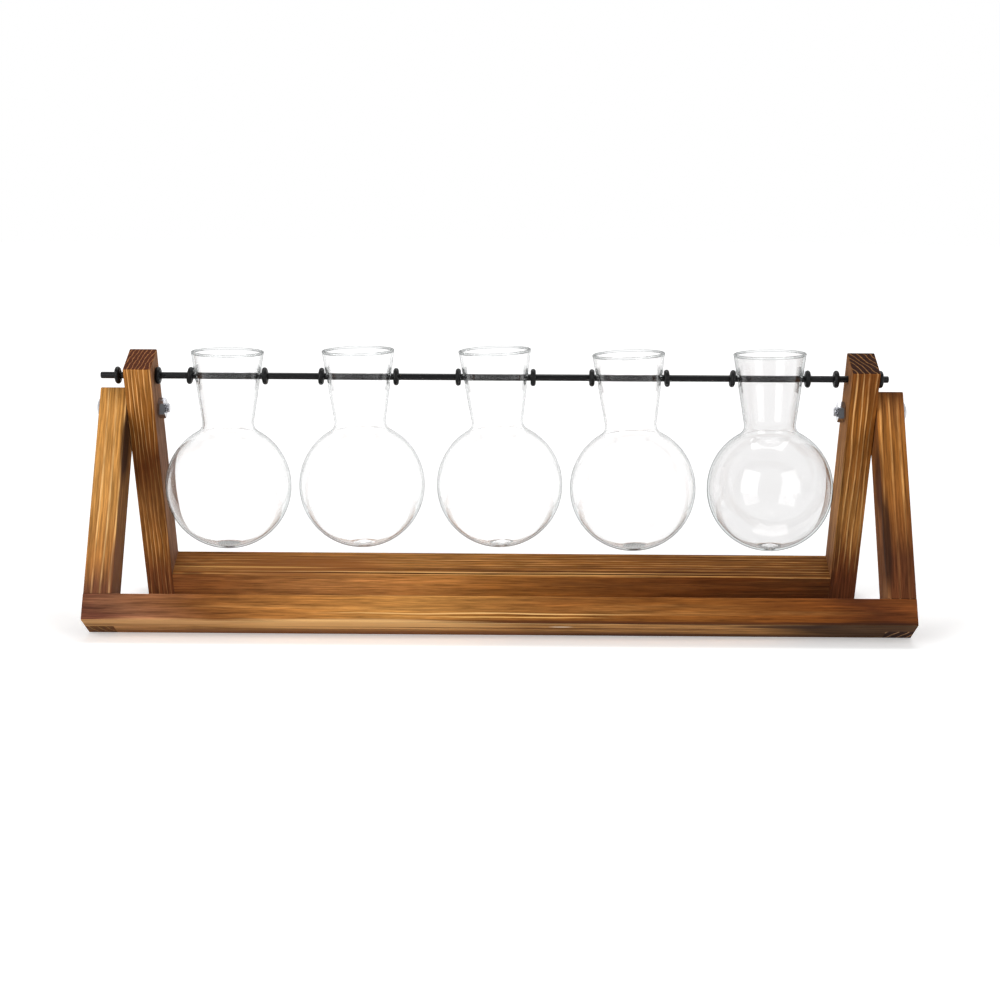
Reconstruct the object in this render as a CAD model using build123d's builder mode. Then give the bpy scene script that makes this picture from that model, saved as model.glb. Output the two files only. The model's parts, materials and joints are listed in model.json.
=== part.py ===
from build123d import *
import os
from math import cos, radians, sin, sqrt

# A folding wooden stand that carries five blown glass bulb vases on a black rod.
# X runs along the rod, Y towards the back and Z up. The origin is on the table,
# under the middle of the stand.

# Wood: one batten size, laid with its narrow face to the front
wood_width = 16.5  # legs and posts, along X
wood_depth = 26.0  # legs, posts and rails, square to the frame they are in
rail_height = 16.0
edge_round = 0.8
foot_cut = 0.4  # depth of the level cut along each rail's lowest corner

# Stand: two leaning frames that turn on a pair of bolts, wide enough for the vases
front_lean = 31.0  # degrees, the front frame's top leans back
rear_lean = 22.0  # degrees, the rear frame's top leans forward
leg_below_pivot = 137.5
leg_above_pivot = 8.0
post_above_pivot = 33.5
pivot_gap = 0.3  # between a leg and the post beside it

# Pivot bolts: round head, square neck, hexagon nut
bolt_diameter = 6.2
bolt_length = 40.0  # under the head
bolt_head_diameter = 15.5
bolt_head_height = 3.8
bolt_head_edge = 0.6
bolt_neck_length = 3.5
bolt_tip_chamfer = 0.7
bolt_clearance = 0.08  # all round, in the wood
neck_clearance = 0.04  # each side of the square neck
nut_across_flats = 11.0
nut_height = 4.4
nut_chamfer = 0.6
nut_gap = 0.12  # between the nut and the post it bears on
thread_clearance = 0.02

# Rod and its rubber rings
rod_diameter = 4.0
rod_below_post_top = 11.0
rod_clearance = 0.08  # all round, in the posts
rod_left_overhang = 16.1  # past the post's outer face
rod_right_overhang = 7.5
rod_chamfer = 0.4
ring_cord = 3.2
ring_clearance = 0.02  # between a ring and the rod it grips
left_outer_ring_gap = 4.2  # from each ring to the face of the post beside it
left_inner_ring_gap = 0.15
right_inner_ring_gap = 5.6
right_outer_ring_gap = 0.9
neck_ring_gap = 1.3  # from a vase's neck to the ring on each side of it

# Vases
bulb_diameter = 75.5
rim_diameter = 43.4
neck_foot_diameter = 31.0
neck_height = 42.0
vase_height = 118.7
glass_wall = 1.8
rim_round = 0.8
shoulder_round = 6.0
base_flat_diameter = 14.5
rim_above_rod = 15.3
hole_diameter = 7.0
hole_gap = 0.15  # between the rod and the top of the hole that hangs on it
bulb_gap = 5.0  # between neighbours, before the hand-set shifts below
end_gap = 7.95  # from the end bulbs to the posts, in the same way
vase_place_shares = (-2.03, -1.056, -0.04, 0.95, 1.99)  # of the pitch, from the middle
vase_leans = (-0.7, 1.3, 2.3, 2.6, 1.6)  # degrees to the left, from hand-set holes
vase_rises = (-0.5, 0.8, 1.3, -0.5, 0.0)  # over the usual height, for the same reason

cut_overrun = 1.0

# Places that follow from the sizes above
half_depth = wood_depth / 2
vase_pitch = bulb_diameter + bulb_gap
post_inner_x = 2 * vase_pitch + bulb_diameter / 2 + end_gap  # two vases each side of the middle one
post_outer_x = post_inner_x + wood_width
leg_inner_x = post_outer_x + pivot_gap
leg_outer_x = leg_inner_x + wood_width
front_angle = radians(front_lean)
rear_angle = radians(rear_lean)
pivot_z = leg_below_pivot * cos(front_angle) + half_depth * sin(front_angle) - foot_cut
post_below_pivot = (pivot_z + foot_cut - half_depth * sin(rear_angle)) / cos(rear_angle)
front_reach = leg_below_pivot * sin(front_angle) + half_depth * cos(front_angle)
rear_reach = post_below_pivot * sin(rear_angle) + half_depth * cos(rear_angle)
pivot_y = (front_reach - rear_reach) / 2
rod_above_pivot = post_above_pivot - rod_below_post_top
rod_y = pivot_y - rod_above_pivot * sin(rear_angle)
rod_z = pivot_z + rod_above_pivot * cos(rear_angle)
rod_left_x = -post_outer_x - rod_left_overhang
rod_right_x = post_outer_x + rod_right_overhang
hole_z = rod_z - (hole_diameter / 2 - rod_diameter / 2 - hole_gap)

# Each frame has a plane of its own: x along X, y up the frame, z out of its front
front_plane = Plane(
    origin=(0, pivot_y, pivot_z),
    x_dir=(1, 0, 0),
    z_dir=(0, -cos(front_angle), sin(front_angle)),
)
rear_plane = Plane(
    origin=(0, pivot_y, pivot_z),
    x_dir=(1, 0, 0),
    z_dir=(0, -cos(rear_angle), -sin(rear_angle)),
)

os.makedirs("parts", exist_ok=True)


def save(part, name):
    """Label a finished piece and write its file."""
    part.label = name
    export_step(part, f"parts/{name}.step")


def block(plane, low, high, mode=Mode.ADD):
    """A straight block between two corners given in a frame's plane."""
    with BuildSketch(plane.offset(low[2])) as outline:
        with Locations(((low[0] + high[0]) / 2, (low[1] + high[1]) / 2)):
            Rectangle(high[0] - low[0], high[1] - low[1])
    extrude(outline.sketch, amount=high[2] - low[2], mode=mode)


def cross_hole(y, z, diameter, mode=Mode.SUBTRACT):
    """A hole along X right through a leg or a post."""
    with BuildSketch(Plane.YZ) as outline:
        with Locations((y, z)):
            Circle(diameter / 2)
    extrude(outline.sketch, amount=leg_outer_x + cut_overrun, both=True, mode=mode)


# Legs and posts, with the lap for the rail that crosses them
for side, side_name in ((-1, "left"), (1, "right")):
    leg_x = sorted((side * leg_outer_x, side * leg_inner_x))
    with BuildPart() as leg:
        block(
            front_plane,
            (leg_x[0], -leg_below_pivot, -half_depth),
            (leg_x[1], leg_above_pivot, half_depth),
        )
        long_edges = leg.edges().sort_by(SortBy.LENGTH)[-4:]
        top_edges = leg.faces().sort_by(Axis.Z)[-1].edges()
        fillet(long_edges + top_edges, radius=edge_round)
        block(
            front_plane,
            (leg_x[0] - cut_overrun, -leg_below_pivot - cut_overrun, 0),
            (leg_x[1] + cut_overrun, -leg_below_pivot + rail_height, half_depth + cut_overrun),
            mode=Mode.SUBTRACT,
        )
        cross_hole(pivot_y, pivot_z, bolt_diameter + 2 * bolt_clearance)
        with BuildSketch(Plane.YZ.offset(side * (leg_outer_x - bolt_neck_length))):
            with Locations((pivot_y, pivot_z)):
                Rectangle(
                    bolt_diameter + 2 * neck_clearance,
                    bolt_diameter + 2 * neck_clearance,
                    rotation=-front_lean,
                )
        extrude(amount=side * (bolt_neck_length + cut_overrun), mode=Mode.SUBTRACT)
        split(bisect_by=Plane.XY, keep=Keep.TOP)
    save(leg.part, f"{side_name}_leg")

    post_x = sorted((side * post_outer_x, side * post_inner_x))
    with BuildPart() as post:
        block(
            rear_plane,
            (post_x[0], -post_below_pivot, -half_depth),
            (post_x[1], post_above_pivot, half_depth),
        )
        long_edges = post.edges().sort_by(SortBy.LENGTH)[-4:]
        top_edges = post.faces().sort_by(Axis.Z)[-1].edges()
        fillet(long_edges + top_edges, radius=edge_round)
        block(
            rear_plane,
            (post_x[0] - cut_overrun, -post_below_pivot - cut_overrun, -half_depth - cut_overrun),
            (post_x[1] + cut_overrun, -post_below_pivot + rail_height, 0),
            mode=Mode.SUBTRACT,
        )
        cross_hole(pivot_y, pivot_z, bolt_diameter + 2 * bolt_clearance)
        cross_hole(rod_y, rod_z, rod_diameter + 2 * rod_clearance)
        split(bisect_by=Plane.XY, keep=Keep.TOP)
    save(post.part, f"{side_name}_post")

# Rails: the front one crosses in front of the legs, the rear one behind the posts
with BuildPart() as front_rail:
    block(
        front_plane,
        (-leg_outer_x, -leg_below_pivot, -half_depth),
        (leg_outer_x, -leg_below_pivot + rail_height, half_depth),
    )
    long_edges = front_rail.edges().filter_by(Axis.X).sort_by(Axis.Z)[1:]
    fillet(long_edges, radius=edge_round)
    for side in (-1, 1):
        end_x = sorted((side * leg_inner_x, side * (leg_outer_x + cut_overrun)))
        block(
            front_plane,
            (end_x[0], -leg_below_pivot - cut_overrun, -half_depth - cut_overrun),
            (end_x[1], -leg_below_pivot + rail_height + cut_overrun, 0),
            mode=Mode.SUBTRACT,
        )
    split(bisect_by=Plane.XY, keep=Keep.TOP)
save(front_rail.part, "front_rail")

with BuildPart() as rear_rail:
    block(
        rear_plane,
        (-post_outer_x, -post_below_pivot, -half_depth),
        (post_outer_x, -post_below_pivot + rail_height, half_depth),
    )
    long_edges = rear_rail.edges().filter_by(Axis.X).sort_by(Axis.Z)[1:]
    fillet(long_edges, radius=edge_round)
    for side in (-1, 1):
        end_x = sorted((side * post_inner_x, side * (post_outer_x + cut_overrun)))
        block(
            rear_plane,
            (end_x[0], -post_below_pivot - cut_overrun, 0),
            (end_x[1], -post_below_pivot + rail_height + cut_overrun, half_depth + cut_overrun),
            mode=Mode.SUBTRACT,
        )
    split(bisect_by=Plane.XY, keep=Keep.TOP)
save(rear_rail.part, "rear_rail")

# Pivot bolts and nuts
nut_corner_radius = nut_across_flats / sqrt(3)
for side, side_name in ((-1, "left"), (1, "right")):
    leg_face = Plane(
        origin=(side * leg_outer_x, pivot_y, pivot_z),
        x_dir=(0, cos(front_angle), -sin(front_angle)),
        z_dir=(side, 0, 0),
    )
    head_profile = Plane(
        origin=leg_face.origin,
        x_dir=(0, 1, 0),
        z_dir=(0, 0, -side),
    )
    with BuildPart() as bolt:
        with BuildSketch(head_profile):
            with BuildLine():
                crown = ThreePointArc(
                    (-bolt_head_diameter / 2, bolt_head_edge),
                    (0, bolt_head_height),
                    (bolt_head_diameter / 2, bolt_head_edge),
                )
                Polyline(
                    crown @ 1,
                    (bolt_head_diameter / 2, 0),
                    (-bolt_head_diameter / 2, 0),
                    crown @ 0,
                )
            make_face()
            split(bisect_by=Plane.YZ)
        revolve(axis=Axis(leg_face.origin, leg_face.z_dir))
        with BuildSketch(leg_face):
            Circle(bolt_diameter / 2)
        extrude(amount=-bolt_length)
        tip_edge = bolt.edges().filter_by(GeomType.CIRCLE).sort_by(Axis.X)
        chamfer(tip_edge[-1] if side < 0 else tip_edge[0], length=bolt_tip_chamfer)
        with BuildSketch(leg_face):
            Rectangle(bolt_diameter, bolt_diameter)
        extrude(amount=-bolt_neck_length)
    save(bolt.part, f"{side_name}_bolt")

    nut_face = Plane(
        origin=(side * (post_inner_x - nut_gap), pivot_y, pivot_z),
        x_dir=(0, 0, 1),
        z_dir=(-side, 0, 0),
    )
    with BuildPart() as nut:
        with BuildSketch(nut_face):
            Circle(nut_corner_radius)
        extrude(amount=nut_height)
        chamfer(nut.edges().filter_by(GeomType.CIRCLE), length=nut_chamfer)
        with BuildSketch(nut_face):
            RegularPolygon(radius=nut_corner_radius, side_count=6)
        extrude(amount=nut_height, mode=Mode.INTERSECT)
        with BuildSketch(nut_face):
            Circle(bolt_diameter / 2 + thread_clearance)
        extrude(amount=nut_height, mode=Mode.SUBTRACT)
    save(nut.part, f"{side_name}_nut")

# Rod
rod_plane = Plane(origin=(rod_left_x, rod_y, rod_z), x_dir=(0, 1, 0), z_dir=(1, 0, 0))
with BuildPart() as rod:
    with BuildSketch(rod_plane):
        Circle(rod_diameter / 2)
    extrude(amount=rod_right_x - rod_left_x)
    chamfer(rod.edges().filter_by(GeomType.CIRCLE), length=rod_chamfer)
save(rod.part, "rod")

# Vases: a bulb blown onto a flaring neck, hung by two holes in the neck
neck_taper = (rim_diameter - neck_foot_diameter) / 2 / neck_height
bulb_radius = bulb_diameter / 2
vase_bottom = rim_above_rod - vase_height  # heights in a vase are from the rod's axis
bulb_centre = vase_bottom + sqrt(bulb_radius**2 - (base_flat_diameter / 2) ** 2)
neck_foot = rim_above_rod - neck_height
neck_root_radius = neck_foot_diameter / 2 - neck_taper * (neck_foot - bulb_centre)
blank_top = rim_above_rod + 2 * glass_wall  # the neck before its mouth is cut
blank_top_radius = rim_diameter / 2 + neck_taper * (blank_top - rim_above_rod)
neck_radius_at_rod = rim_diameter / 2 - neck_taper * rim_above_rod

ring_places = {}
hand_set = zip(vase_place_shares, vase_leans, vase_rises)
for number, (place_share, lean, rise) in enumerate(hand_set, start=1):
    vase_x = place_share * vase_pitch
    lean_angle = radians(lean)
    vase_plane = Plane(
        origin=(vase_x - rise * sin(lean_angle), rod_y, rod_z + rise * cos(lean_angle)),
        x_dir=(cos(lean_angle), 0, sin(lean_angle)),
        z_dir=(0, -1, 0),
    )
    with BuildPart() as vase:
        with BuildSketch(vase_plane):
            with Locations((0, bulb_centre)):
                Circle(bulb_radius)
            with BuildLine():
                Polyline(
                    (-neck_root_radius, bulb_centre),
                    (-blank_top_radius, blank_top),
                    (blank_top_radius, blank_top),
                    (neck_root_radius, bulb_centre),
                    close=True,
                )
            make_face()
            shoulder = vertices().filter_by_position(
                Axis.Y, bulb_centre, rim_above_rod, inclusive=(False, False)
            )
            fillet(shoulder, radius=shoulder_round)
            with Locations((0, vase_bottom)):
                Rectangle(
                    bulb_diameter,
                    bulb_radius,
                    align=(Align.CENTER, Align.MAX),
                    mode=Mode.SUBTRACT,
                )
            offset(amount=-glass_wall, mode=Mode.SUBTRACT)
            with Locations((0, rim_above_rod)):
                Rectangle(
                    bulb_diameter,
                    bulb_radius,
                    align=(Align.CENTER, Align.MIN),
                    mode=Mode.SUBTRACT,
                )
            fillet(vertices().group_by(Axis.Y)[-1], radius=rim_round)
            split(bisect_by=Plane.YZ)
        revolve(axis=Axis(vase_plane.origin, vase_plane.y_dir))
        with BuildSketch(Plane.YZ.offset(vase_x)):
            with Locations((rod_y, hole_z)):
                Circle(hole_diameter / 2)
        extrude(amount=rim_diameter, both=True, mode=Mode.SUBTRACT)
    save(vase.part, f"vase_{number}")
    neck_reach = neck_radius_at_rod + neck_ring_gap + ring_cord / 2
    ring_places[f"vase_{number}_ring_left"] = vase_x - neck_reach
    ring_places[f"vase_{number}_ring_right"] = vase_x + neck_reach

# Rubber rings that grip the rod beside the posts and the necks
ring_places["left_post_ring_outer"] = -post_outer_x - left_outer_ring_gap - ring_cord / 2
ring_places["left_post_ring_inner"] = -post_inner_x + left_inner_ring_gap + ring_cord / 2
ring_places["right_post_ring_inner"] = post_inner_x - right_inner_ring_gap - ring_cord / 2
ring_places["right_post_ring_outer"] = post_outer_x + right_outer_ring_gap + ring_cord / 2
for ring_name, ring_x in ring_places.items():
    ring_plane = Plane(origin=(ring_x, rod_y, rod_z), x_dir=(1, 0, 0), z_dir=(0, -1, 0))
    with BuildPart() as ring:
        with BuildSketch(ring_plane):
            with Locations((0, rod_diameter / 2 + ring_clearance + ring_cord / 2)):
                Circle(ring_cord / 2)
        revolve(axis=Axis(ring_plane.origin, ring_plane.x_dir))
    save(ring.part, ring_name)
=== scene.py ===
import json
import math
import bmesh
import bpy
from mathutils import Matrix, Vector


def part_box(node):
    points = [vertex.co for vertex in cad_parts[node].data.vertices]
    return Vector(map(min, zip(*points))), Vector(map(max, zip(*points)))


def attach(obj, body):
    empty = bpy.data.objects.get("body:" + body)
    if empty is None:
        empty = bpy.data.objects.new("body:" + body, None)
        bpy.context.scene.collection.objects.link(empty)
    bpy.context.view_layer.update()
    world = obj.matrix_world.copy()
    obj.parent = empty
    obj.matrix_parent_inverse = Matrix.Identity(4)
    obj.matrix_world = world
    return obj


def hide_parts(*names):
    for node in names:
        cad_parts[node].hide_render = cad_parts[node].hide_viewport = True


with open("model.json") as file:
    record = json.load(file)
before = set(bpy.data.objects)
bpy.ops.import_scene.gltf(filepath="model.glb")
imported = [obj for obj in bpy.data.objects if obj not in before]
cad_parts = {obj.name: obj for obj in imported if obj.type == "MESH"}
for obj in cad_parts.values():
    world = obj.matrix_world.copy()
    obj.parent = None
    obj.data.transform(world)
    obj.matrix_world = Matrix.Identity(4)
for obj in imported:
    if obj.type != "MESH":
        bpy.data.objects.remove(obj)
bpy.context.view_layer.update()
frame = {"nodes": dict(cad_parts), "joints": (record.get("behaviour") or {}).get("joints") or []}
mm = 0.001
noiseSpan = (0.3, 0.7)  # where most of a noise texture's values lie
print("stage: frame loaded")


# small helpers
def hexColour(text):
    # sRGB hex to linear
    parts = [int(text[i:i + 2], 16) / 255 for i in (1, 3, 5)]
    return tuple(c / 12.92 if c <= 0.04045 else ((c + 0.055) / 1.055) ** 2.4 for c in parts) + (1.0,)


def addNode(tree, kind, values=None, links=None, stops=None, **settings):
    # values and links go by socket, and stops are a ramp's; a colour may be a hex text, and a link may be
    # a node, for its first output
    node = tree.nodes.new("ShaderNode" + kind)
    for name, value in settings.items():
        setattr(node, name, value)
    if stops:
        elements = node.color_ramp.elements
        while len(elements) < len(stops):
            elements.new(0.5)
        for element, (place, colour) in zip(elements, stops):
            element.position = place
            element.color = hexColour(colour)
    for socket, value in (values or {}).items():
        node.inputs[socket].default_value = hexColour(value) if isinstance(value, str) else value
    for socket, source in (links or {}).items():
        output = source.outputs[0] if isinstance(source, bpy.types.Node) else source
        tree.links.new(output, node.inputs[socket])
    return node


def fromTo(before, after):
    # a map range node's limits, in and out
    return {1: before[0], 2: before[1], 3: after[0], 4: after[1]}


def newMaterial(name):
    material = bpy.data.materials.new(name)
    material.use_nodes = True
    material.node_tree.nodes.clear()
    return material, material.node_tree


def dressNode(nodeName, material):
    node = frame["nodes"][nodeName]
    node.data.materials.clear()
    node.data.materials.append(material)


def finishPiece(name, vertices, faces, materials, body, replaced, faceMaterials=None):
    mesh = bpy.data.meshes.new(name)
    mesh.from_pydata(vertices, [], faces)
    for material in materials:
        mesh.materials.append(material)
    if faceMaterials:
        mesh.polygons.foreach_set("material_index", faceMaterials)
    work = bmesh.new()
    work.from_mesh(mesh)
    bmesh.ops.recalc_face_normals(work, faces=work.faces)
    work.to_mesh(mesh)
    work.free()
    mesh.shade_smooth()
    piece = bpy.data.objects.new(name, mesh)
    bpy.context.scene.collection.objects.link(piece)
    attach(piece, body)
    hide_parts(*replaced)
    return piece


# camera, at the place the photograph was taken from
cameraLook = {
    "place": (12.39, -1175.88, 292.85),  # mm
    "yaw": -0.0108,  # radians
    "pitch": 0.1865,
    "roll": 0.0045,
    "focalPixels": 1986.39,
    "imagePixels": 1000,
    "sensorWidth": 36,
    "clip": (0.05, 50),  # m
}


def makeCamera(look):
    yaw, pitch, roll = look["yaw"], look["pitch"], look["roll"]
    ahead = Vector((math.sin(yaw) * math.cos(pitch), math.cos(yaw) * math.cos(pitch), -math.sin(pitch)))
    level = Vector((math.cos(yaw), -math.sin(yaw), 0))
    above = level.cross(ahead)
    right = math.cos(roll) * level + math.sin(roll) * above
    up = -math.sin(roll) * level + math.cos(roll) * above
    data = bpy.data.cameras.new("camera")
    data.sensor_width = look["sensorWidth"]
    data.lens = look["focalPixels"] * data.sensor_width / look["imagePixels"]
    data.clip_start, data.clip_end = look["clip"]
    camera = bpy.data.objects.new("camera", data)
    bpy.context.scene.collection.objects.link(camera)
    place = Vector(look["place"]) * mm
    camera.matrix_world = Matrix((
        (right.x, up.x, -ahead.x, place.x),
        (right.y, up.y, -ahead.y, place.y),
        (right.z, up.z, -ahead.z, place.z),
        (0, 0, 0, 1),
    ))
    bpy.context.scene.camera = camera


makeCamera(cameraLook)
print("stage: camera")

# studio: white sweep and backdrop, dimmer on the photographer's side, two tall soft boxes and one above
studioLook = {
    "white": "#ffffff",
    "roomStrength": 0.32,  # what lights matt surfaces
    "dimSide": 0.14,  # what gloss shows of the room on the photographer's side
    "roomFade": (-0.1, 0.6),  # a direction's Y where the dim side ends, and where full white begins
    "floorFade": (-0.45, -0.1),  # the same on the floor, m
    "floorColour": "#f4f4f4",
    "floorGlow": (0.3, 0.75),  # what the lamps leave short of white, near by and far off
    "floorReach": (0.25, 1.5),  # how near and how far, m
    "floorRadius": 4.0,
    "floorSides": 96,
    "floorDrop": 0.0002,  # so that no foot lies in one plane with it
    "lamps": {
        # name: place, aimed at, width, height, watts
        "keyLeft": ((-1.0, -1.1, 0.62), (0, 0, 0.1), 1.0, 1.2, 16),
        "fillRight": ((1.0, -1.25, 0.6), (0, 0, 0.1), 0.9, 1.15, 11),
        "topBack": ((0.1, 0.35, 1.5), (0, 0, 0.05), 1.2, 0.8, 9),
    },
}


def seenRays(tree, place, fade, dim):
    # which rays see the backdrop, and how much of it: reflections see less on the photographer's side
    rays = addNode(tree, "LightPath").outputs
    straight = addNode(tree, "Math", links={0: rays["Is Camera Ray"], 1: rays["Is Transmission Ray"]},
                       operation="MAXIMUM")
    seen = addNode(tree, "Math", links={0: straight, 1: rays["Is Glossy Ray"]}, operation="MAXIMUM")
    parts = addNode(tree, "SeparateXYZ", links={0: place})
    side = addNode(tree, "MapRange", fromTo(fade, (1 - dim, 0.0)), {0: parts.outputs["Y"]},
                   interpolation_type="SMOOTHSTEP")
    # a refracted ray counts as a glossy one too, and is taken out again
    mirrored = addNode(tree, "Math", links={0: rays["Is Glossy Ray"], 1: rays["Is Transmission Ray"]},
                       operation="SUBTRACT", use_clamp=True)
    loss = addNode(tree, "Math", links={0: side, 1: mirrored}, operation="MULTIPLY")
    shown = addNode(tree, "Math", {0: 1.0}, {1: loss}, operation="SUBTRACT")
    return seen, shown


def makeBackdrop(look):
    scene = bpy.context.scene
    scene.view_settings.view_transform = "Standard"
    world = bpy.data.worlds.new("whiteStudio")
    scene.world = world
    world.use_nodes = True
    tree = world.node_tree
    tree.nodes.clear()
    where = addNode(tree, "TexCoord").outputs
    seen, shown = seenRays(tree, where["Generated"], look["roomFade"], look["dimSide"])
    room = addNode(tree, "Background", {"Color": look["white"], "Strength": look["roomStrength"]})
    backdrop = addNode(tree, "Background", {"Color": look["white"]}, {"Strength": shown})
    mix = addNode(tree, "MixShader", links={0: seen, 1: room, 2: backdrop})
    addNode(tree, "OutputWorld", links={"Surface": mix})


def makeFloor(look):
    # matt white sweep; it glows only for the rays that see it, so it stays white and keeps the shadow
    material, tree = newMaterial("mattWhiteSweep")
    where = addNode(tree, "TexCoord").outputs
    seen, shown = seenRays(tree, where["Object"], look["floorFade"], look["dimSide"])
    away = addNode(tree, "VectorMath", links={0: where["Object"]}, operation="LENGTH").outputs["Value"]
    short = addNode(tree, "MapRange", fromTo(look["floorReach"], look["floorGlow"]), {0: away})
    glowing = addNode(tree, "Math", links={0: shown, 1: short}, operation="MULTIPLY")
    strength = addNode(tree, "Math", links={0: seen, 1: glowing}, operation="MULTIPLY")
    paint = addNode(tree, "VectorMath", {0: hexColour(look["floorColour"])[:3]}, {1: shown},
                    operation="MULTIPLY")
    glow = addNode(tree, "Emission", {"Color": look["white"]}, {"Strength": strength})
    matt = addNode(tree, "BsdfDiffuse", links={"Color": paint})
    both = addNode(tree, "AddShader", links={0: matt, 1: glow})
    addNode(tree, "OutputMaterial", links={"Surface": both})
    work = bmesh.new()
    bmesh.ops.create_circle(work, cap_ends=True, segments=look["floorSides"], radius=look["floorRadius"])
    mesh = bpy.data.meshes.new("floor")
    work.to_mesh(mesh)
    work.free()
    mesh.materials.append(material)
    floor = bpy.data.objects.new("floor", mesh)
    bpy.context.scene.collection.objects.link(floor)
    floor.location.z = -look["floorDrop"]


def makeLamp(name, place, target, width, height, watts):
    data = bpy.data.lights.new(name, "AREA")
    data.shape = "RECTANGLE"
    data.size, data.size_y = width, height
    data.energy = watts
    lamp = bpy.data.objects.new(name, data)
    bpy.context.scene.collection.objects.link(lamp)
    lamp.location = place
    lamp.rotation_euler = (Vector(target) - Vector(place)).to_track_quat("-Z", "Y").to_euler()


makeBackdrop(studioLook)
makeFloor(studioLook)
for lampName, lamp in studioLook["lamps"].items():
    makeLamp(lampName, *lamp)
print("stage: studio")

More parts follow.
